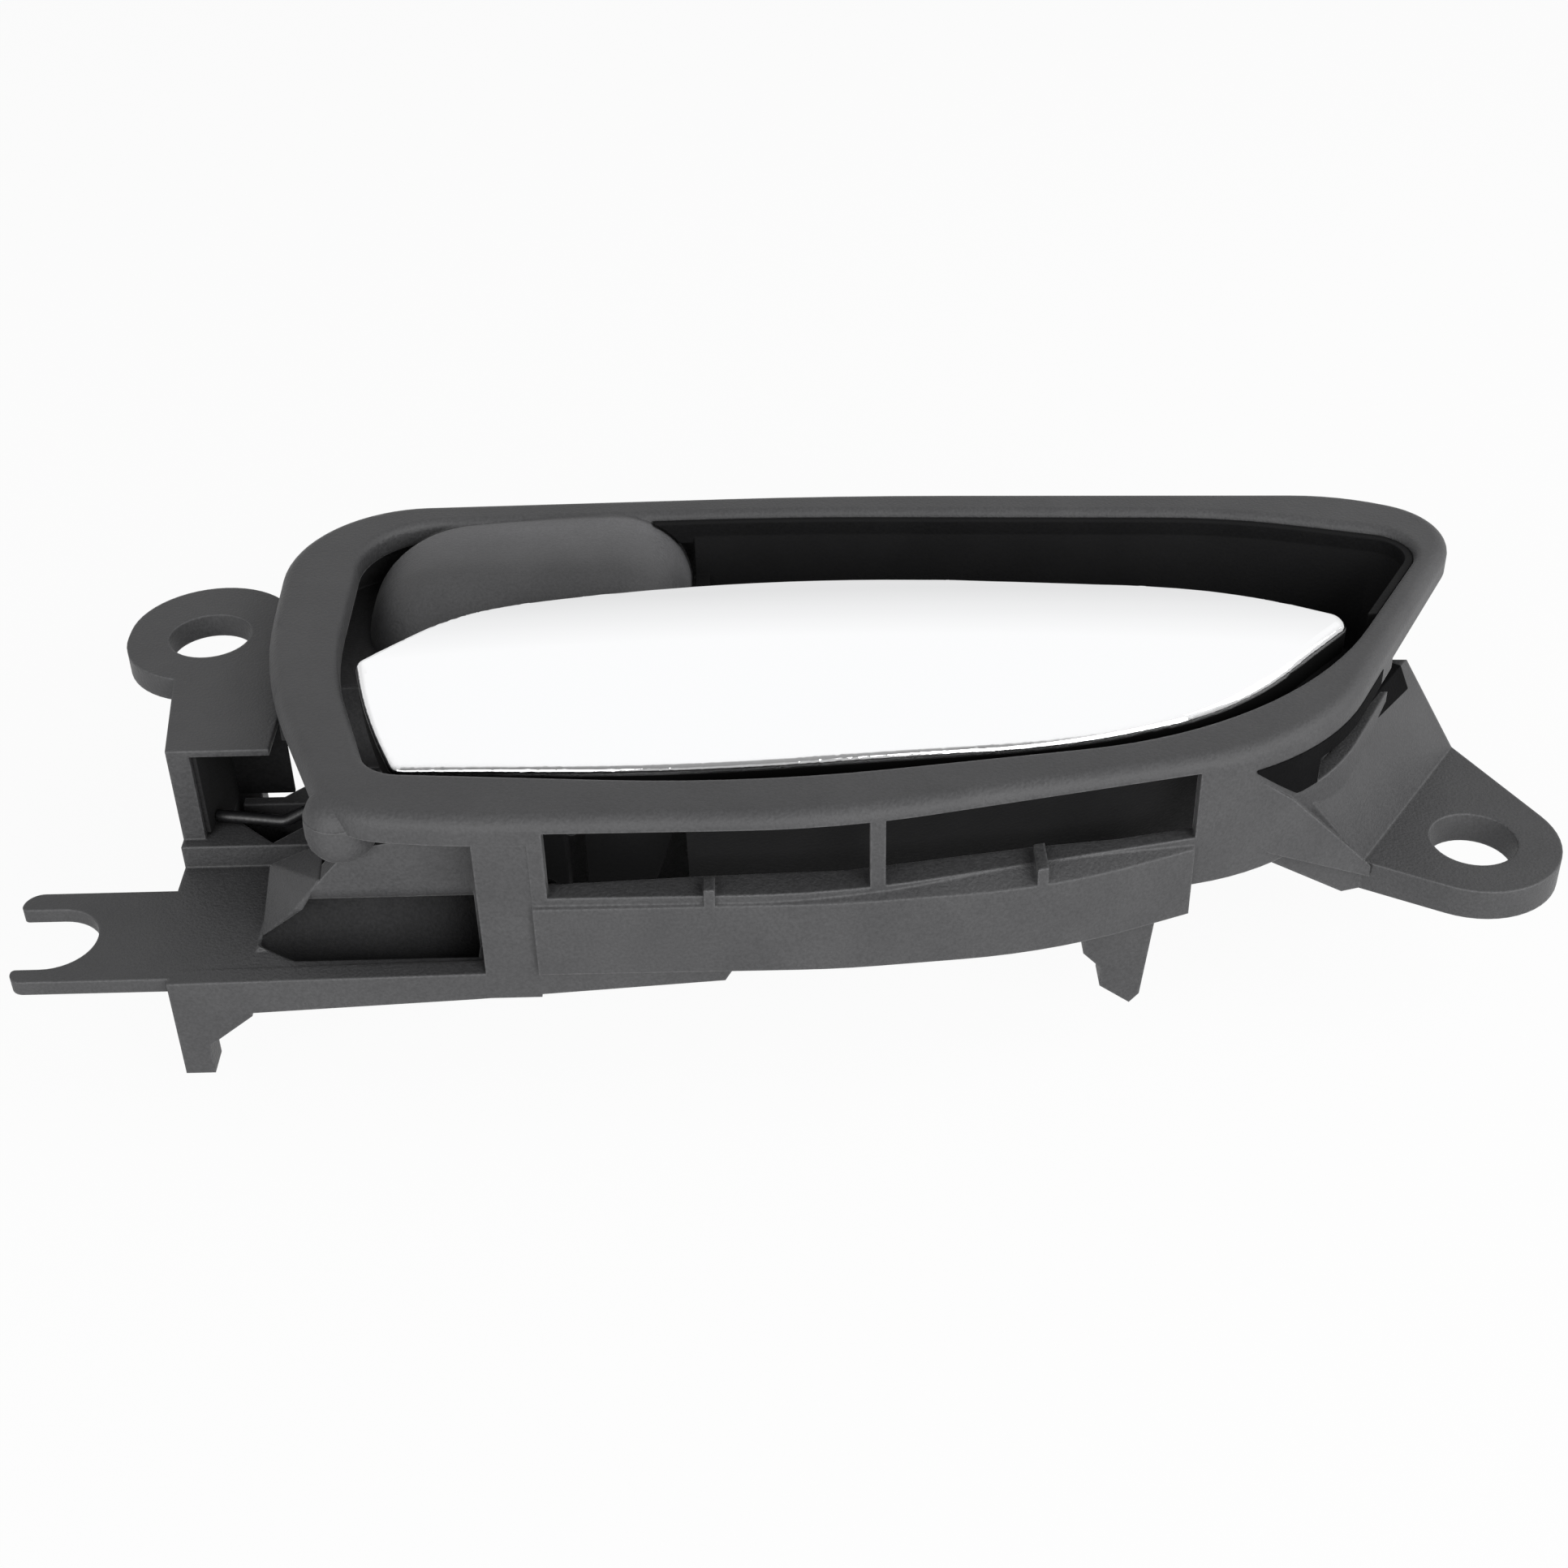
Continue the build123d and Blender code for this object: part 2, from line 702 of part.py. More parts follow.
with BuildPart() as finger_cup:
    cup_outer = outline(opening_corners, seat_gap + cup_wall) & outline(bezel_corners, -shell)
    cup_inner = outline(opening_corners, seat_gap) & outline(bezel_corners, -shell - cup_wall)
    add(bowl(cup_outer, cup_bottom))
    before = block(0, far, -plan_reach, liner_front, cup_floor_top, ring_under)
    behind = block(liner_left, far, liner_front, plan_reach, cup_floor_top, face_z)
    add(bowl(cup_inner, cup_floor_top) & before, mode=Mode.SUBTRACT)
    add(bowl(cup_mouth, cup_floor_top), mode=Mode.SUBTRACT)
    add(block(0, cup_left, -plan_reach, plan_reach, cup_bottom, ring_under), mode=Mode.SUBTRACT)
    # liner that stands up inside the ring's opening behind the lever, and over the dome's shoulder
    liner_plan = outline(opening_corners, -liner_gap) - cup_mouth
    liner = slab(liner_plan, ring_under - liner_wall, face_z - liner_drop)
    add((liner & behind) - dome_solid(-dome_clear))
    end_wall = block(cup_left, cup_left + cup_wall, -plan_reach, plan_reach, cup_bottom, cup_end_top)
    add(end_wall & bowl(cup_outer, cup_bottom))

with BuildPart() as lever_cap:
    add(slab(outline(lever_corners), lever_low, crown_top))
    add(crown(0), mode=Mode.INTERSECT)
    fillet(lever_cap.faces().sort_by(Axis.Z)[-1].edges(), cap_edge_round)
    add(crown(cap_rim), mode=Mode.SUBTRACT)
    inside = slab(outline(lever_corners, -cap_thickness), lever_low, crown_top) & crown(cap_thickness)
    add(inside, mode=Mode.SUBTRACT)

under_cap = cap_thickness + carrier_gap
carrier_face = outline(lever_corners, -under_cap)
barrel_r = pin_d / 2 + barrel_wall
with BuildPart() as lever_carrier:
    add(slab(carrier_face, lever_low, crown_top))
    add(crown(under_cap), mode=Mode.INTERSECT)
    add(crown(under_cap + carrier_plate), mode=Mode.SUBTRACT)

    # barrel in two lengths, with the spring's coil between them
    for front, back in ((barrel_front, coil_front), (coil_back, barrel_back)):
        with Locations(along_pivot(front)):
            Cylinder(barrel_r, back - front, align=on_end)
        web = block(pivot_x - barrel_web / 2, pivot_x + barrel_web / 2, front, back, pivot_z, crown_top)
        add(web & slab(carrier_face, lever_low, crown_top) & crown(under_cap))

    # arm that the latch cable pulls, hung from the front length of the barrel
    with BuildSketch(Plane.XZ.offset(-arm_front)):
        Polygon(
            (pivot_x, pivot_z + barrel_r),
            (arm_left + arm_width, pivot_z + barrel_r),
            (arm_left + arm_width, arm_bottom),
            (arm_left, arm_bottom),
            (arm_left, block_shelf),
            (pivot_x, pivot_z - barrel_r),
            align=None,
        )
        with Locations((arm_left + arm_width / 2, cable_z)):
            Circle(cable_hole_d / 2, mode=Mode.SUBTRACT)
        with Locations((arm_left + arm_width / 4, cable_z)):
            Rectangle(arm_width / 2, cable_slit, mode=Mode.SUBTRACT)
    extrude(amount=-arm_thickness)
    web = block(arm_left, arm_left + arm_width, arm_front, arm_front + arm_thickness, pivot_z, crown_top)
    add(web & crown(under_cap))

    # stiffening rib under the carrier's front edge
    with BuildPart(mode=Mode.PRIVATE) as stiffener:
        with BuildSketch(Plane.XZ.offset(-arm_front)):
            Polygon(
                (front_rib_left, front_rib_low),
                (front_rib_heel, front_rib_low),
                (front_rib_right, front_rib_knee),
                (front_rib_right, crown_top),
                (front_rib_left, crown_top),
                align=None,
            )
        extrude(amount=-front_rib_width)
    add(stiffener.part & crown(under_cap))

    with Locations(along_pivot(barrel_front)):
        Cylinder(pin_d / 2 + pin_running, barrel_back - barrel_front, align=on_end, mode=Mode.SUBTRACT)

with BuildPart() as pivot_pin:
    with Locations(along_pivot(lug_front + lug_blind)):
        Cylinder(pin_d / 2, rear_boss_back - lug_front - lug_blind, align=on_end)

with BuildPart() as stop_bumper:
    with Locations(Plane(origin=(block_right, tray_back - bumper_d / 2, bumper_z), z_dir=(1, 0, 0))):
        Cylinder(bumper_d / 2, bumper_length, align=on_end)

coil_r = pin_d / 2 + coil_inner_clear + wire_d / 2
coil_low = pivot_z - coil_r
coil_start = coil_front + coil_end_clear + wire_d / 2
coil_stop = coil_back - coil_end_clear - wire_d / 2
with BuildPart() as return_spring:
    with BuildLine() as coil:
        turns = Helix(
            (coil_stop - coil_start) / coil_turns,
            coil_stop - coil_start,
            coil_r,
            center=(pivot_x, coil_start, pivot_z),
            direction=(0, 1, 0),
            mode=Mode.PRIVATE,
        )
        add(turns.rotate(Axis((pivot_x, coil_start, pivot_z), (0, 1, 0)), 90))
    with BuildSketch(Plane(origin=coil.line @ 0, z_dir=coil.line % 0)):
        Circle(wire_d / 2)
    sweep(path=coil.line, is_frenet=True)
    behind_arm = arm_left + arm_width + wire_d / 2
    with BuildLine() as arm_leg:
        FilletPolyline(
            (pivot_x - wire_d / 4, coil_start, coil_low),
            (behind_arm, coil_start, coil_low),
            (behind_arm, arm_front, coil_low),
            radius=leg_bend,
        )
    with BuildSketch(Plane(origin=arm_leg.line @ 0, z_dir=arm_leg.line % 0)):
        Circle(wire_d / 2)
    sweep(path=arm_leg.line)
    leg_rest = step_top + wire_d / 2
    with BuildLine() as tray_leg:
        FilletPolyline(
            (pivot_x + wire_d / 4, coil_stop, coil_low),
            (pivot_x - 2 * coil_r, coil_stop, coil_low),
            (tray_leg_knee_x, tray_leg_knee_y, leg_rest),
            (tray_leg_end_x, tray_leg_end_y, leg_rest),
            radius=leg_bend,
        )
    with BuildSketch(Plane(origin=tray_leg.line @ 0, z_dir=tray_leg.line % 0)):
        Circle(wire_d / 2)
    sweep(path=tray_leg.line)

os.makedirs("parts", exist_ok=True)
housing.part.label = "housing"
export_step(housing.part, "parts/housing.step")
finger_cup.part.label = "finger_cup"
export_step(finger_cup.part, "parts/finger_cup.step")
lever_cap.part.label = "lever_cap"
export_step(lever_cap.part, "parts/lever_cap.step")
lever_carrier.part.label = "lever_carrier"
export_step(lever_carrier.part, "parts/lever_carrier.step")
pivot_pin.part.label = "pivot_pin"
export_step(pivot_pin.part, "parts/pivot_pin.step")
return_spring.part.label = "return_spring"
export_step(return_spring.part, "parts/return_spring.step")
stop_bumper.part.label = "stop_bumper"
export_step(stop_bumper.part, "parts/stop_bumper.step")
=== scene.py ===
from math import asin, cos, degrees, pi, radians, sin

import bmesh
import bpy
from mathutils import Matrix, Vector
from mathutils.bvhtree import BVHTree


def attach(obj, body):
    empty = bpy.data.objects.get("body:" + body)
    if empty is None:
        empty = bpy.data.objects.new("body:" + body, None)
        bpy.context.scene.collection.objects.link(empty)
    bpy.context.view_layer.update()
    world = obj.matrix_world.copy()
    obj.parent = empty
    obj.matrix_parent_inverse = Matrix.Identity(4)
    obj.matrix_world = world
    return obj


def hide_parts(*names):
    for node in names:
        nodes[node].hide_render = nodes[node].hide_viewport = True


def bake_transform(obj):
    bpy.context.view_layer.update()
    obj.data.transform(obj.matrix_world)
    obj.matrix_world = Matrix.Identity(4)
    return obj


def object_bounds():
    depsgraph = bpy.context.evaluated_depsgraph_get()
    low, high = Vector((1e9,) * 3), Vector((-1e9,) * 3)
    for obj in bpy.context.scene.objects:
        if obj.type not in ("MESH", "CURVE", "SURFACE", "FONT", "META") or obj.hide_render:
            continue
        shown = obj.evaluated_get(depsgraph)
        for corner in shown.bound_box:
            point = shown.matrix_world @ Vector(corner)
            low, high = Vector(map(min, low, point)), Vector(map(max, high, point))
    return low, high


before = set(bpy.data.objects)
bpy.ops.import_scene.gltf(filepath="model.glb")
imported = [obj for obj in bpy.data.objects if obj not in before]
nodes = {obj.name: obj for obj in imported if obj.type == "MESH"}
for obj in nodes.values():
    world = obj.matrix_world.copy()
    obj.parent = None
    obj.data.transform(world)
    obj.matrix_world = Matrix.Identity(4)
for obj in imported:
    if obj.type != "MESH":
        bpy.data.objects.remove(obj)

cad_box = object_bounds()
scene = bpy.context.scene
MM = 0.001

# Camera at the photograph's view
aim = Vector((0.0594, -0.036, 0.0075))
view_rise = radians(35.5)
view_roll = radians(-1.4)
view_distance = 0.203


def facing(place):
    """Turn that points a camera or a lamp at the part."""
    return (aim - place).to_track_quat("-Z", "Y").to_matrix().to_4x4()


lens = bpy.data.cameras.new("camera")
lens.sensor_fit = "HORIZONTAL"
lens.sensor_width = 36.0
lens.lens = 51.8
lens.clip_start = 0.01
camera = bpy.data.objects.new("camera", lens)
scene.collection.objects.link(camera)
eye = aim + Vector((0.0, -cos(view_rise), sin(view_rise))) * view_distance
camera.matrix_world = Matrix.Translation(eye) @ facing(eye) @ Matrix.Rotation(view_roll, 4, "Z")
scene.camera = camera
scene.view_settings.view_transform = "Standard"

# Helpers for node trees: FULL is a value that grows from none to all, EMPTY one that falls from all to none
FULL = (0.0, 1.0)
EMPTY = (1.0, 0.0)
WHITE = (1.0, 1.0, 1.0)


def material(name):
    """New node material, with its tree and its shader."""
    made = bpy.data.materials.new(name)
    made.use_nodes = True
    tree = made.node_tree
    return made, tree, tree.nodes["Principled BSDF"]


def noise(tree, coords, scale, detail):
    """Noise value in the object's own coordinates, features about 1/scale metres wide."""
    made = tree.nodes.new("ShaderNodeTexNoise")
    made.inputs["Scale"].default_value = scale
    made.inputs["Detail"].default_value = detail
    tree.links.new(coords.outputs["Object"], made.inputs["Vector"])
    return made.outputs["Fac"]


def spread(tree, source, span, result):
    """Value mapped from one pair of limits to another."""
    made = tree.nodes.new("ShaderNodeMapRange")
    made.inputs["From Min"].default_value = span[0]
    made.inputs["From Max"].default_value = span[1]
    made.inputs["To Min"].default_value = result[0]
    made.inputs["To Max"].default_value = result[1]
    tree.links.new(source, made.inputs["Value"])
    return made.outputs["Result"]


def ramped(tree, source, span, dark, light):
    """Colour that goes from dark to light as the source crosses a span."""
    made = tree.nodes.new("ShaderNodeValToRGB")
    for stop, position, colour in zip(made.color_ramp.elements, span, (dark, light)):
        stop.position = position
        stop.color = (*colour, 1.0)
    tree.links.new(source, made.inputs["Fac"])
    return made.outputs["Color"]


def mixed(tree, blend, share, first, second):
    """Colour mix of two linked colours by a share, which is linked or a number."""
    made = tree.nodes.new("ShaderNodeMix")
    made.data_type = "RGBA"
    made.blend_type = blend
    if isinstance(share, float):
        made.inputs["Factor"].default_value = share
    else:
        tree.links.new(share, made.inputs["Factor"])
    tree.links.new(first, made.inputs[6])
    tree.links.new(second, made.inputs[7])
    return made.outputs[2]


def combined(tree, operation, first, second):
    """Math node on two linked values."""
    made = tree.nodes.new("ShaderNodeMath")
    made.operation = operation
    tree.links.new(first, made.inputs[0])
    tree.links.new(second, made.inputs[1])
    return made.outputs["Value"]


def projected(tree, vector, direction):
    """Dot product of a linked vector with a direction, which is linked or a set of numbers."""
    made = tree.nodes.new("ShaderNodeVectorMath")
    made.operation = "DOT_PRODUCT"
    tree.links.new(vector, made.inputs[0])
    if isinstance(direction, tuple):
        made.inputs[1].default_value = direction
    else:
        tree.links.new(direction, made.inputs[1])
    return made.outputs["Value"]


def separated(tree, vector):
    """Outputs X, Y and Z of a linked vector."""
    made = tree.nodes.new("ShaderNodeSeparateXYZ")
    tree.links.new(vector, made.inputs["Vector"])
    return made.outputs


def openness(tree, reach):
    """Share of open space round a point, out to a reach in metres."""
    made = tree.nodes.new("ShaderNodeAmbientOcclusion")
    made.samples = 6
    made.inputs["Distance"].default_value = reach
    return made.outputs["AO"]


def bumped(tree, height, strength, depth):
    """Bump node on a linked height, with its depth in metres."""
    made = tree.nodes.new("ShaderNodeBump")
    made.inputs["Strength"].default_value = strength
    made.inputs["Distance"].default_value = depth
    tree.links.new(height, made.inputs["Height"])
    return made


# Moulded plastics and rubber: noise scales in features a metre, depths and reaches in metres, and
# highlight_turn, for the painted edge highlight, as the cosine between the softened normal and the true one
mottle_scale, mottle_detail, mottle_span = 160.0, 4.0, (0.3, 0.7)
grain_scale, grain_detail, grain_depth = 3400.0, 2.0, 0.00008
pit_span, pit_tone = (0.3, 0.7), (0.70, 0.70, 0.70)
rough_span = (0.25, 0.75)
highlight_turn, highlight_span, highlight_gain = (0.985, 0.86), (0.2, 0.8), 2.4
painted_shade_reach, painted_shade_span = 0.005, (0.20, 0.62)
sheen_rough = 0.25


def moulded(name, dark, light, rough, specular, grain, edge, edge_highlight, shade, sheen=0.0):
    """Moulded surface: mottled colour, spark-eroded grain, painted highlights on edges and painted shade in
    recesses.
    """
    made, tree, shader = material(name)
    coords = tree.nodes.new("ShaderNodeTexCoord")
    speck = noise(tree, coords, grain_scale, grain_detail)
    cloud = noise(tree, coords, mottle_scale, mottle_detail)
    colour = ramped(tree, cloud, mottle_span, dark, light)
    colour = mixed(tree, "MULTIPLY", 1.0, colour, ramped(tree, speck, pit_span, pit_tone, WHITE))
    # painted highlight: edges where the softened normal leaves the true one are painted lighter, as if lit
    soft = tree.nodes.new("ShaderNodeBevel")
    soft.samples = 8
    soft.inputs["Radius"].default_value = edge
    surface = tree.nodes.new("ShaderNodeNewGeometry")
    turn = projected(tree, soft.outputs["Normal"], surface.outputs["Normal"])
    highlight_share = spread(tree, turn, highlight_turn, (0.0, edge_highlight))
    highlight_colour = ramped(tree, speck, highlight_span, light, tuple(highlight_gain * part for part in light))
    colour = mixed(tree, "MIX", highlight_share, colour, highlight_colour)
    # painted shade: recesses, where shade falls, are painted darker
    depth = ramped(tree, openness(tree, painted_shade_reach), painted_shade_span, (shade, shade, shade), WHITE)
    colour = mixed(tree, "MULTIPLY", 1.0, colour, depth)
    tree.links.new(colour, shader.inputs["Base Color"])
    tree.links.new(spread(tree, speck, rough_span, rough), shader.inputs["Roughness"])
    bump = bumped(tree, speck, grain, grain_depth)
    tree.links.new(soft.outputs["Normal"], bump.inputs["Normal"])
    tree.links.new(bump.outputs["Normal"], shader.inputs["Normal"])
    shader.inputs["Specular IOR Level"].default_value = specular
    shader.inputs["Sheen Weight"].default_value = sheen
    shader.inputs["Sheen Roughness"].default_value = sheen_rough
    return made


grey = moulded(
    "grey_plastic",
    dark=(0.058, 0.058, 0.060),
    light=(0.070, 0.070, 0.072),
    rough=(0.48, 0.64),
    specular=0.34,
    grain=0.9,
    edge=0.0004,
    edge_highlight=0.6,
    shade=0.14,
    sheen=0.12,
)
black = moulded(
    "black_plastic",
    dark=(0.0070, 0.0070, 0.0074),
    light=(0.0095, 0.0095, 0.0100),
    rough=(0.60, 0.75),
    specular=0.10,
    grain=0.5,
    edge=0.00025,
    edge_highlight=0.05,
    shade=0.60,
)
wire = moulded(
    "spring_coating",
    dark=(0.010, 0.010, 0.011),
    light=(0.016, 0.016, 0.017),
    rough=(0.30, 0.45),
    specular=0.45,
    grain=0.2,
    edge=0.0001,
    edge_highlight=0.1,
    shade=0.60,
)
rubber = moulded(
    "rubber",
    dark=(0.012, 0.012, 0.012),
    light=(0.018, 0.018, 0.018),
    rough=(0.75, 0.90),
    specular=0.30,
    grain=0.6,
    edge=0.0001,
    edge_highlight=0.1,
    shade=0.60,
)
# painted shade: a dark grey for sheets laid where there is only shade in recesses
shade_dark_grey = moulded(
    "painted_shade_dark_grey",
    dark=(0.032, 0.032, 0.033),
    light=(0.038, 0.038, 0.039),
    rough=(0.80, 0.92),
    specular=0.06,
    grain=0.8,
    edge=0.0001,
    edge_highlight=0.0,
    shade=0.60,
)
# painted shade: a near-black for sheets laid where there is only shade
shade_black = moulded(
    "painted_shade_black",
    dark=(0.0045, 0.0045, 0.0048),
    light=(0.0070, 0.0070, 0.0074),
    rough=(0.85, 0.95),
    specular=0.05,
    grain=1.0,
    edge=0.0001,
    edge_highlight=0.0,
    shade=0.80,
)

# Painted highlight on the dome: a paler tone where light falls on it, which grows towards its crest: limits
# in X and in Y, and a line that leans across the ring's corner, keep it off the ring
dome_left, dome_right = (16.5 * MM, 18.5 * MM), (50.0 * MM, 52.0 * MM)
dome_rise, dome_fall = (3.6 * MM, 12.5 * MM), (14.1 * MM, 14.8 * MM)
corner_lean, corner_fall = (-0.4, 1.0, 0.0), (3.6 * MM, 4.8 * MM)
dome_highlight_gain = 1.4


def paint_dome_highlight(plastic):
    """Paint a highlight over the dome, making a plastic paler where light falls on it."""
    tree = plastic.node_tree
    shader = tree.nodes["Principled BSDF"]
    place = tree.nodes.new("ShaderNodeTexCoord").outputs["Object"]
    axes = separated(tree, place)
    share = spread(tree, axes["Y"], dome_rise, FULL)
    for limit in (
        spread(tree, axes["Y"], dome_fall, EMPTY),
        spread(tree, axes["X"], dome_left, FULL),
        spread(tree, axes["X"], dome_right, EMPTY),
        spread(tree, projected(tree, place, corner_lean), corner_fall, EMPTY),
    ):
        share = combined(tree, "MULTIPLY", share, limit)
    dome_highlight = tree.nodes.new("ShaderNodeVectorMath")
    dome_highlight.operation = "SCALE"
    tree.links.new(shader.inputs["Base Color"].links[0].from_socket, dome_highlight.inputs[0])
    tree.links.new(spread(tree, share, FULL, (1.0, 1.0 + dome_highlight_gain)), dome_highlight.inputs["Scale"])
    tree.links.new(dome_highlight.outputs["Vector"], shader.inputs["Base Color"])


paint_dome_highlight(grey)

# Plated metals: noise scales in features a metre, depths and reaches in metres, and wall_span as the upward
# part of the normal, from a wall to the face
haze_scale, haze_detail = 90.0, 3.0
ripple_scale, ripple_detail, ripple_depth = 55.0, 2.0, 0.0004
gap_shade_reach, gap_shade_span, gap_shade_tone = 0.006, (0.50, 0.80), (0.012, 0.012, 0.013)
wall_span, wall_tone, wall_rough, wall_specular = (0.10, 0.34), (0.003, 0.003, 0.003), 0.8, 0.1


def plated(name, colour, rough, ripple, black_walls):
    """Bright plating with a faint ripple and slight haze."""
    made, tree, shader = material(name)
    shader.inputs["Metallic"].default_value = 1.0
    coords = tree.nodes.new("ShaderNodeTexCoord")
    haze = spread(tree, noise(tree, coords, haze_scale, haze_detail), FULL, rough)
    bump = bumped(tree, noise(tree, coords, ripple_scale, ripple_detail), ripple, ripple_depth)
    tree.links.new(bump.outputs["Normal"], shader.inputs["Normal"])
    # painted shade: the plating's colour is darkened down in narrow gaps, where shade falls
    tone = ramped(tree, openness(tree, gap_shade_reach), gap_shade_span, gap_shade_tone, colour)
    if black_walls:
        # the walls and the back are black and dull, and only the face is plated: partly an unplated skirt,
        # partly painted shade in the dark gap round the lever
        upward = separated(tree, coords.outputs["Normal"])["Z"]
        face = ramped(tree, upward, wall_span, wall_tone, WHITE)
        tone = mixed(tree, "MULTIPLY", 1.0, tone, face)
        haze = combined(tree, "MAXIMUM", spread(tree, upward, wall_span, (wall_rough, 0.0)), haze)
        tree.links.new(face, shader.inputs["Metallic"])
        shader.inputs["Specular IOR Level"].default_value = wall_specular
    tree.links.new(haze, shader.inputs["Roughness"])
    tree.links.new(tone, shader.inputs["Base Color"])
    return made


chrome = plated("chrome", colour=(0.97, 0.973, 0.98), rough=(0.03, 0.08), ripple=0.04, black_walls=True)
steel = plated("steel", colour=(0.58, 0.58, 0.59), rough=(0.22, 0.36), ripple=0.05, black_walls=False)

# Finish of each CAD node
finish = {
    "housing": grey,
    "finger_cup": black,
    "lever_cap": chrome,
    "lever_carrier": black,
    "pivot_pin": steel,
    "return_spring": wire,
    "stop_bumper": rubber,
}
for name, surface in finish.items():
    mesh = nodes[name].data
    mesh.materials.clear()
    mesh.materials.append(surface)

# The return spring is shown by a copy of its mesh in place, and the CAD node is hidden.
spring = bpy.data.objects.new("spring_wire", nodes["return_spring"].data.copy())
scene.collection.objects.link(spring)
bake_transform(spring)
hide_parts("return_spring")

# Builders of the added pieces, all in millimetres of the frame
edge_segments = 3


def added(name, points, faces, surface, edge):
    """Small rigid piece on the housing, with softened edges where an edge width is given."""
    mesh = bpy.data.meshes.new(name)
    mesh.from_pydata([[value * MM for value in point] for point in points], [], faces)
    shape = bmesh.new()
    shape.from_mesh(mesh)
    bmesh.ops.recalc_face_normals(shape, faces=shape.faces)
    shape.to_mesh(mesh)
    shape.free()
    mesh.materials.append(surface)
    piece = bpy.data.objects.new(name, mesh)
    scene.collection.objects.link(piece)
    if edge:
        soft = piece.modifiers.new("edge", "BEVEL")
        soft.width = edge * MM
        soft.segments = edge_segments
        soft.limit_method = "ANGLE"
    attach(piece, "housing")
    return piece


def hull(name, points, surface, edge):
    """Convex piece round a few points."""
    shape = bmesh.new()
    for point in points:
        shape.verts.new(point)
    bmesh.ops.convex_hull(shape, input=shape.verts)
    shape.verts.index_update()
    corners = [tuple(vert.co) for vert in shape.verts]
    faces = [[vert.index for vert in face.verts] for face in shape.faces]
    shape.free()
    return added(name, corners, faces, surface, edge)


def sheet(name, front, rear, surface):
    """Thin closed piece between two matching grids of points."""
    rows, columns = len(front), len(front[0])

    def at(side, row, column):
        return (side * rows + row) * columns + column

    faces = []
    for row in range(rows - 1):
        for column in range(columns - 1):
            square = [(row, column), (row, column + 1), (row + 1, column + 1), (row + 1, column)]
            faces.append([at(0, *corner) for corner in square])
            faces.append([at(1, *corner) for corner in reversed(square)])
    rim = [(0, column) for column in range(columns)]
    rim += [(row, columns - 1) for row in range(1, rows)]
    rim += [(rows - 1, column) for column in range(columns - 2, -1, -1)]
    rim += [(row, 0) for row in range(rows - 2, 0, -1)]
    for here, after in zip(rim, rim[1:] + rim[:1]):
        faces.append([at(0, *here), at(1, *here), at(1, *after), at(0, *after)])
    points = [point for grid in (front, rear) for row in grid for point in row]
    return added(name, points, faces, surface, edge=0.0)


def smooth(piece):
    """Shade a piece as one round surface."""
    for face in piece.data.polygons:
        face.use_smooth = True


def steps(first, last, count):
    """Evenly spaced values from the first to the last, both included."""
    return [first + (last - first) * i / count for i in range(count + 1)]


housing_tree = BVHTree.FromObject(nodes["housing"], bpy.context.evaluated_depsgraph_get())


def housing_hit(start, direction):
    """First point of the housing along a ray, and the housing's normal there."""
    place, normal = housing_tree.ray_cast(Vector(start) * MM, Vector(direction))[:2]
    return place / MM, normal


# Lift of a painted-shade sheet's front off the housing, and of its rear, which is sunk in the housing
skin = 0.15
root = -0.12

# Painted shade: a black sheet on the wall under the ring's lip at the right bracket, where that wall is in
# shade: it falls from a point at its left end to the wall's foot, and stops short of the open gap farther
# right
band_left, band_foot_left, gap_left, band_right = 103.0, 108.0, 109.9, 118.4
band_top, band_foot, gap_top = 5.0, 0.45, 3.2
band_columns = 12
outside_y = -60.0
inwards = (0.0, 1.0, 0.0)
# how far before the band's left end its lower edge starts to fall, and how far it takes to rise at the gap
band_lead, band_step = 0.3, 0.05


def band_low(x):
    """Height of the band's lower edge."""
    if x > gap_left:
        return gap_top
    share = (x - band_left + band_lead) / (band_foot_left - band_left)
    return max(band_foot, band_top + (band_foot - band_top) * share)


def band_grid(lift):
    """Rows of points on the wall, from the band's upper edge to its lower one."""
    places = steps(band_left, gap_left, band_columns) + steps(gap_left + band_step, band_right, band_columns)
    rows = []
    for share in (0.0, 0.5, 1.0):
        row = []
        for x in places:
            height = band_top + (band_low(x) - band_top) * share
            place = housing_hit((x, outside_y, height), inwards)[0]
            row.append(place - Vector(inwards) * lift)
        rows.append(row)
    return rows


sheet("rim_painted_shade", band_grid(skin), band_grid(root), shade_black)

# Painted shade: a black sheet on the bracket's flat crest and the top of its slope, inwards from a straight
# edge
crest_edge = (Vector((112.6, -22.95)), Vector((123.4, -8.66)))
crest_width_left, crest_width_right = 0.9, 2.2
crest_top = 0.3
crest_rows, crest_columns = 24, 48
# point over the slope, from which a ray straight down finds the slope's plane
slope_probe = (122.0, -13.0, 2.6)
slope_place, slope_normal = housing_hit(slope_probe, (0.0, 0.0, -1.0))
along = (crest_edge[1] - crest_edge[0]).normalized()
inward = Vector((-along.y, along.x))


def crest_height(place):
    """Height of the crest, or of the slope's plane where it is lower."""
    reach = place - slope_place.to_2d()
    return min(crest_top, slope_place.z - slope_normal.to_2d().dot(reach) / slope_normal.z)


def crest_grid(lift):
    """Rows of points over the crest, from its straight edge inwards."""
    rows = []
    for depth in steps(0.0, 1.0, crest_rows):
        row = []
        for share in steps(0.0, 1.0, crest_columns):
            width = crest_width_left + (crest_width_right - crest_width_left) * share
            place = crest_edge[0].lerp(crest_edge[1], share) + inward * width * depth
            row.append((place.x, place.y, crest_height(place) + lift))
        rows.append(row)
    return rows


sheet("crest_painted_shade", crest_grid(skin), crest_grid(root), shade_black)
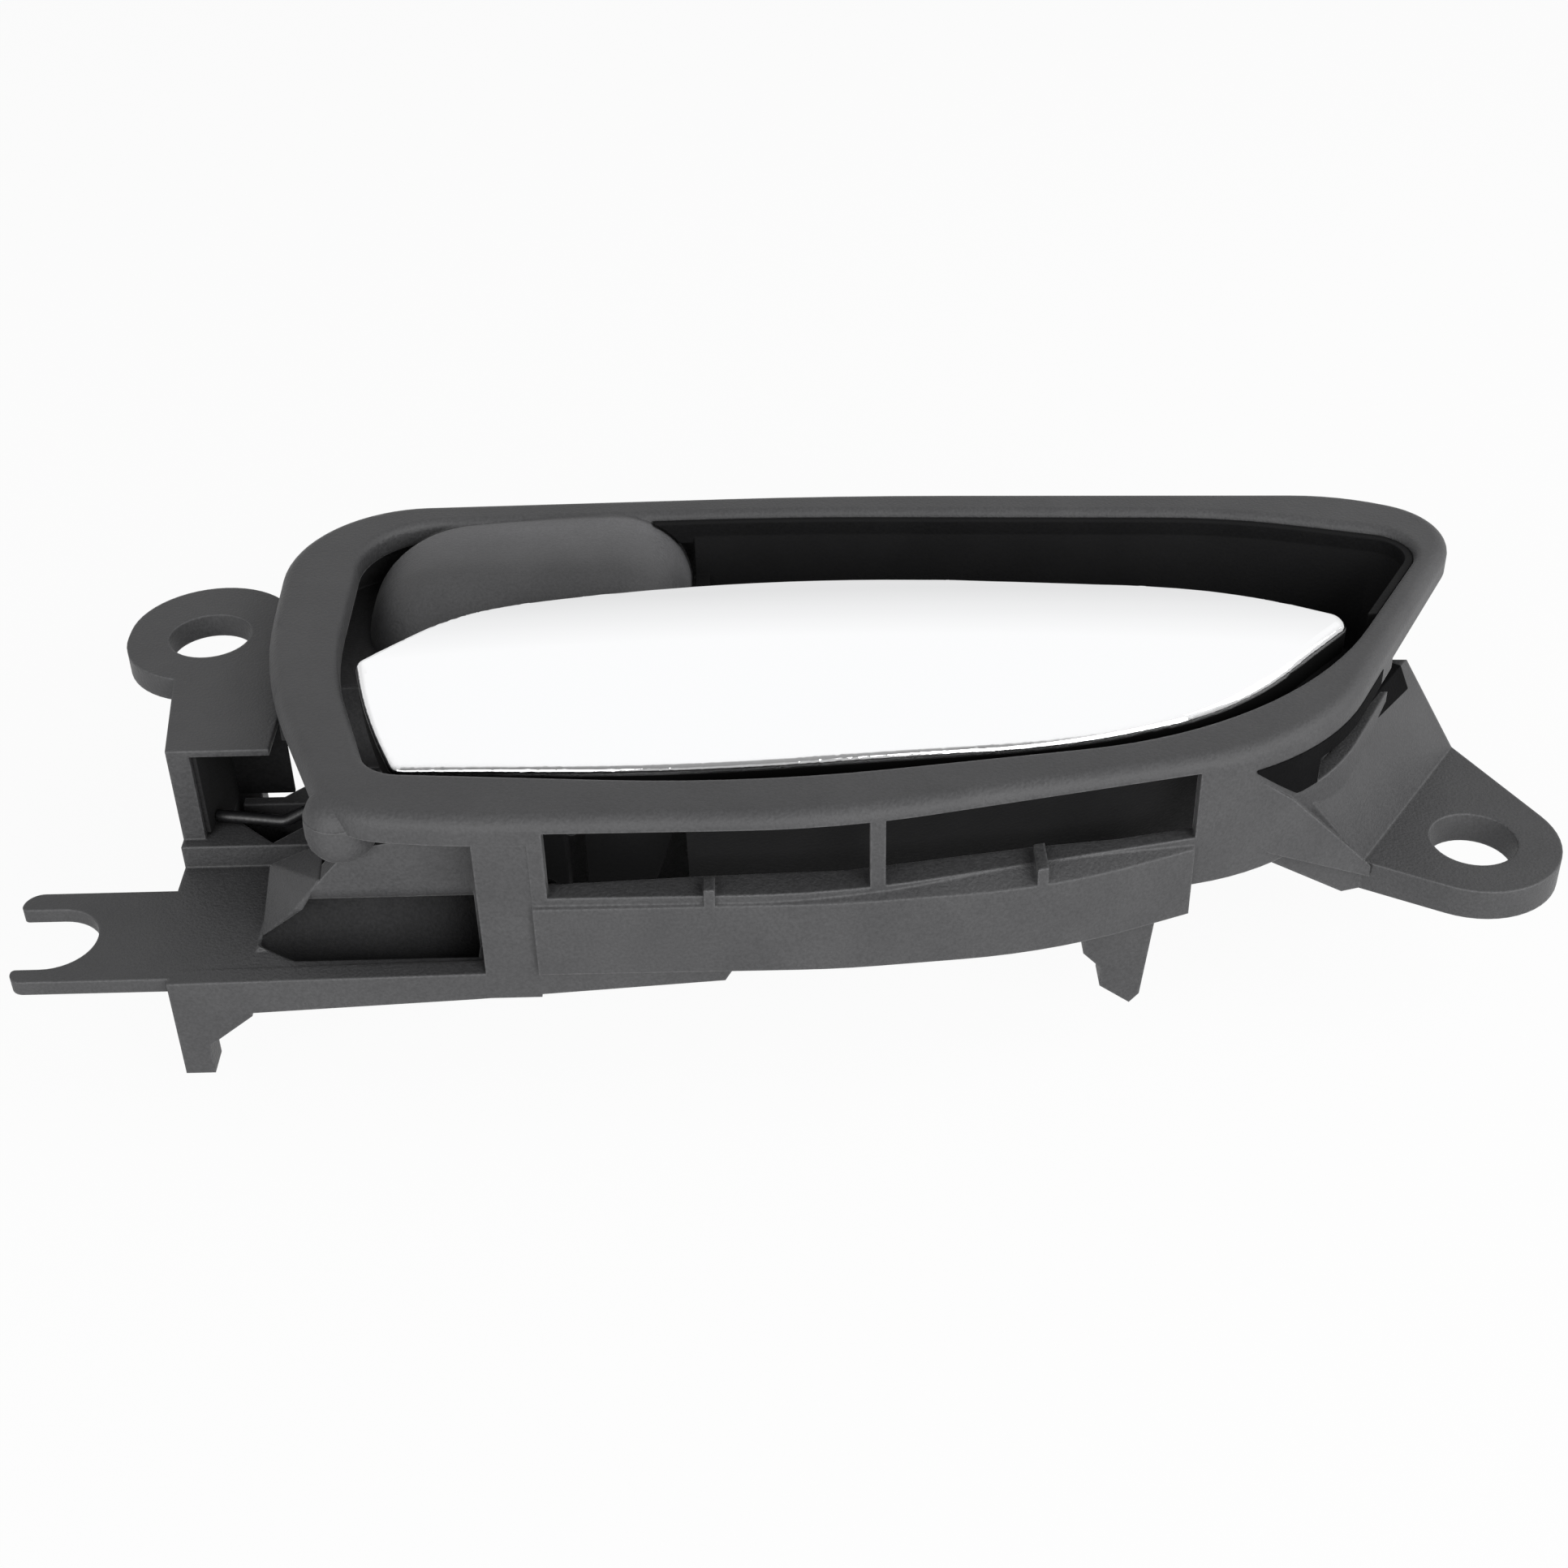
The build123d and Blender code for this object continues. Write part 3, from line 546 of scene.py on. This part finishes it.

# Painted shade: dark grey sheets inside the left bracket's box, on its web and on its back wall
web_x, box_right, box_top = 1.9, 8.2, 1.8
wall_y, web_front, web_heel = -8.2, -20.6, -12.5
web_low, box_low = -7.7, -11.6
shade_thickness, shade_sink, shade_edge = 0.45, 0.05, 0.1
web = [(web_front, web_low), (web_front, box_top), (wall_y, box_top), (wall_y, box_low), (web_heel, box_low)]
web_shade_sheet = [(x, y, z) for x in (web_x - shade_sink, web_x + shade_thickness) for y, z in web]
hull("box_painted_shade_side", web_shade_sheet, shade_dark_grey, shade_edge)
wall_depth = (wall_y - shade_thickness, wall_y + shade_sink)
wall_shade_sheet = [(x, y, z) for x in (web_x, box_right) for y in wall_depth for z in (box_low, box_top)]
hull("box_painted_shade_back", wall_shade_sheet, shade_dark_grey, shade_edge)

# Painted shade: a dark grey sheet in the cable pocket, a cone and then a cylinder that lie along X in the
# sloped block and the tray
pocket_y, pocket_z, pocket_r = -34.5, -8.7, 3.6
pocket_tip, pocket_shoulder, pocket_end = 5.5, 13.0, 30.28
tray_top, block_left, block_run, block_height = -10.5, 9.0, 10.2, 11.7
block_rise = block_height / block_run
# angles in degrees of the shade sheet's edges: at the lip over the pocket, and clear of the tray
lip_angle, tray_angle = 74.0, 1.0
pocket_shade_skin = 0.08
pocket_shade_steps = 32
# places along X of the shade sheet's rows, closer together on the cone
pocket_shade_places = (9.4, 10.2, 11.0, 12.0, pocket_shoulder, 14.2, 22.0, pocket_end)


def pocket_grid(lift):
    """Rows of points round the pocket's wall, from the slope or the lip down to the tray."""
    rows = []
    for x in pocket_shade_places:
        reach = pocket_r * min(1.0, (x - pocket_tip) / (pocket_shoulder - pocket_tip))
        slope = (tray_top + (x - block_left) * block_rise - pocket_z) / reach
        first = min(lip_angle, degrees(asin(min(1.0, slope))))
        last = tray_angle - 180.0 - degrees(asin((tray_top - pocket_z) / reach))
        row = []
        for angle in steps(radians(first), radians(last), pocket_shade_steps):
            row.append((x, pocket_y + (reach - lift) * cos(angle), pocket_z + (reach - lift) * sin(angle)))
        rows.append(row)
    return rows


smooth(sheet("pocket_painted_shade", pocket_grid(pocket_shade_skin), pocket_grid(root), shade_dark_grey))

# Slanted facet on the left end of the cable block, from its tip on the tray up to the slope
block_face, facet_back, facet_tip_y = -36.06, -28.8, -34.0
facet_tip_x, facet_heel_x, facet_crest_x, facet_head_x = 9.3, 9.9, 15.6, 16.3
lip_left, lip_start = 14.25, 13.4
facet_lift, facet_heel, facet_crest, facet_head = 0.1, -5.6, -3.0, -2.1
facet_seat = tray_top + facet_lift
lip_top, lip_foot = -4.4, -5.5
facet_edge = 0.15
facet = [
    (facet_tip_x, facet_tip_y, facet_seat),
    (facet_tip_x, facet_back, facet_seat),
    (facet_heel_x, facet_back, facet_heel),
    (facet_crest_x, facet_back, facet_crest),
    (facet_head_x, block_face, facet_head),
    (lip_left, block_face, lip_top),
    (lip_left, block_face, lip_foot),
    (lip_start, block_face, lip_foot),
]
hull("block_facet", facet, grey, facet_edge)

# Rounded corner over the boss under the ring's lower left corner, up to the ring's face: a profile of reaches
# and heights, turned round an upright axis
corner_x, corner_y = 18.9, -35.3
corner_profile = [
    (0.74, 0.46), (1.75, 0.66), (2.60, 1.24), (3.15, 2.11), (3.35, 3.12),
    (3.35, 4.40), (3.20, 5.30), (2.85, 6.10), (2.20, 6.75), (1.20, 7.15),
]
corner_steps = 48
turned = []
for reach, level in corner_profile:
    for i in range(corner_steps):
        angle = 2 * pi * i / corner_steps
        turned.append((corner_x + reach * cos(angle), corner_y + reach * sin(angle), level))
smooth(hull("corner_blend", turned, grey, edge=0.0))

# Pale floor under the part's lowest leg: nearly white where it is seen or mirrored, with the part's shadow
floor_drop = 0.004
floor_z = cad_box[0][2] - floor_drop
floor_half = 4.0
floor_white = 0.94
floor_corners = [(-1, -1), (1, -1), (1, 1), (-1, 1)]
floor_mesh = bpy.data.meshes.new("floor")
floor_points = [(x * floor_half, y * floor_half, floor_z) for x, y in floor_corners]
floor_mesh.from_pydata(floor_points, [], [(0, 1, 2, 3)])
floor = bpy.data.objects.new("floor", floor_mesh)
scene.collection.objects.link(floor)
pale, tree, shader = material("pale_floor")
shader.inputs["Base Color"].default_value = (0.86, 0.86, 0.86, 1.0)
shader.inputs["Roughness"].default_value = 0.9
shader.inputs["Specular IOR Level"].default_value = 0.1
rays = tree.nodes.new("ShaderNodeLightPath").outputs
seen = combined(tree, "MAXIMUM", rays["Is Camera Ray"], rays["Is Glossy Ray"])
white = tree.nodes.new("ShaderNodeEmission")
white.inputs["Strength"].default_value = 1.0
blend = tree.nodes.new("ShaderNodeMixShader")
tree.links.new(spread(tree, seen, FULL, (0.0, floor_white)), blend.inputs["Fac"])
tree.links.new(shader.outputs["BSDF"], blend.inputs[1])
tree.links.new(white.outputs["Emission"], blend.inputs[2])
tree.links.new(blend.outputs["Shader"], tree.nodes["Material Output"].inputs["Surface"])
floor_mesh.materials.append(pale)

# World: white where it is seen, a softer level where it lights, and where it is mirrored a studio with
# a greyer horizon and a dim side behind the camera, where the photographer stands
horizon_span, horizon_level = (0.25, 0.55), (0.78, 1.0)
dim_side, dim_span, dim_level = (0.0, -0.64, 0.77), (0.90, 0.97), (1.0, 0.35)
fill_level = 0.20
world = bpy.data.worlds.new("studio")
scene.world = world
world.use_nodes = True
tree = world.node_tree
ground = tree.nodes["Background"]
ground.inputs["Color"].default_value = (*WHITE, 1.0)
sky = tree.nodes.new("ShaderNodeTexCoord").outputs["Generated"]
rays = tree.nodes.new("ShaderNodeLightPath").outputs
horizon = spread(tree, separated(tree, sky)["Z"], horizon_span, horizon_level)
dim = spread(tree, projected(tree, sky, dim_side), dim_span, dim_level)
mirrored = combined(tree, "MULTIPLY", combined(tree, "MULTIPLY", horizon, dim), rays["Is Glossy Ray"])
seen = combined(tree, "MAXIMUM", rays["Is Camera Ray"], rays["Is Transmission Ray"])
fill = spread(tree, rays["Is Diffuse Ray"], FULL, (0.0, fill_level))
level = combined(tree, "MAXIMUM", combined(tree, "MAXIMUM", mirrored, seen), fill)
tree.links.new(level, ground.inputs["Strength"])


def softbox(name, place, size, power):
    """Large square lamp that faces the part."""
    lamp = bpy.data.lights.new(name, "AREA")
    lamp.shape = "SQUARE"
    lamp.size = size
    lamp.energy = power
    made = bpy.data.objects.new(name, lamp)
    scene.collection.objects.link(made)
    spot = Vector(place)
    made.matrix_world = Matrix.Translation(spot) @ facing(spot)


softbox("front_left_lamp", place=(-0.30, -0.66, 0.24), size=0.5, power=3.3)
softbox("front_right_lamp", place=(0.42, -0.62, 0.26), size=0.5, power=4.0)
softbox("right_lamp", place=(0.46, -0.04, 0.26), size=0.3, power=0.8)
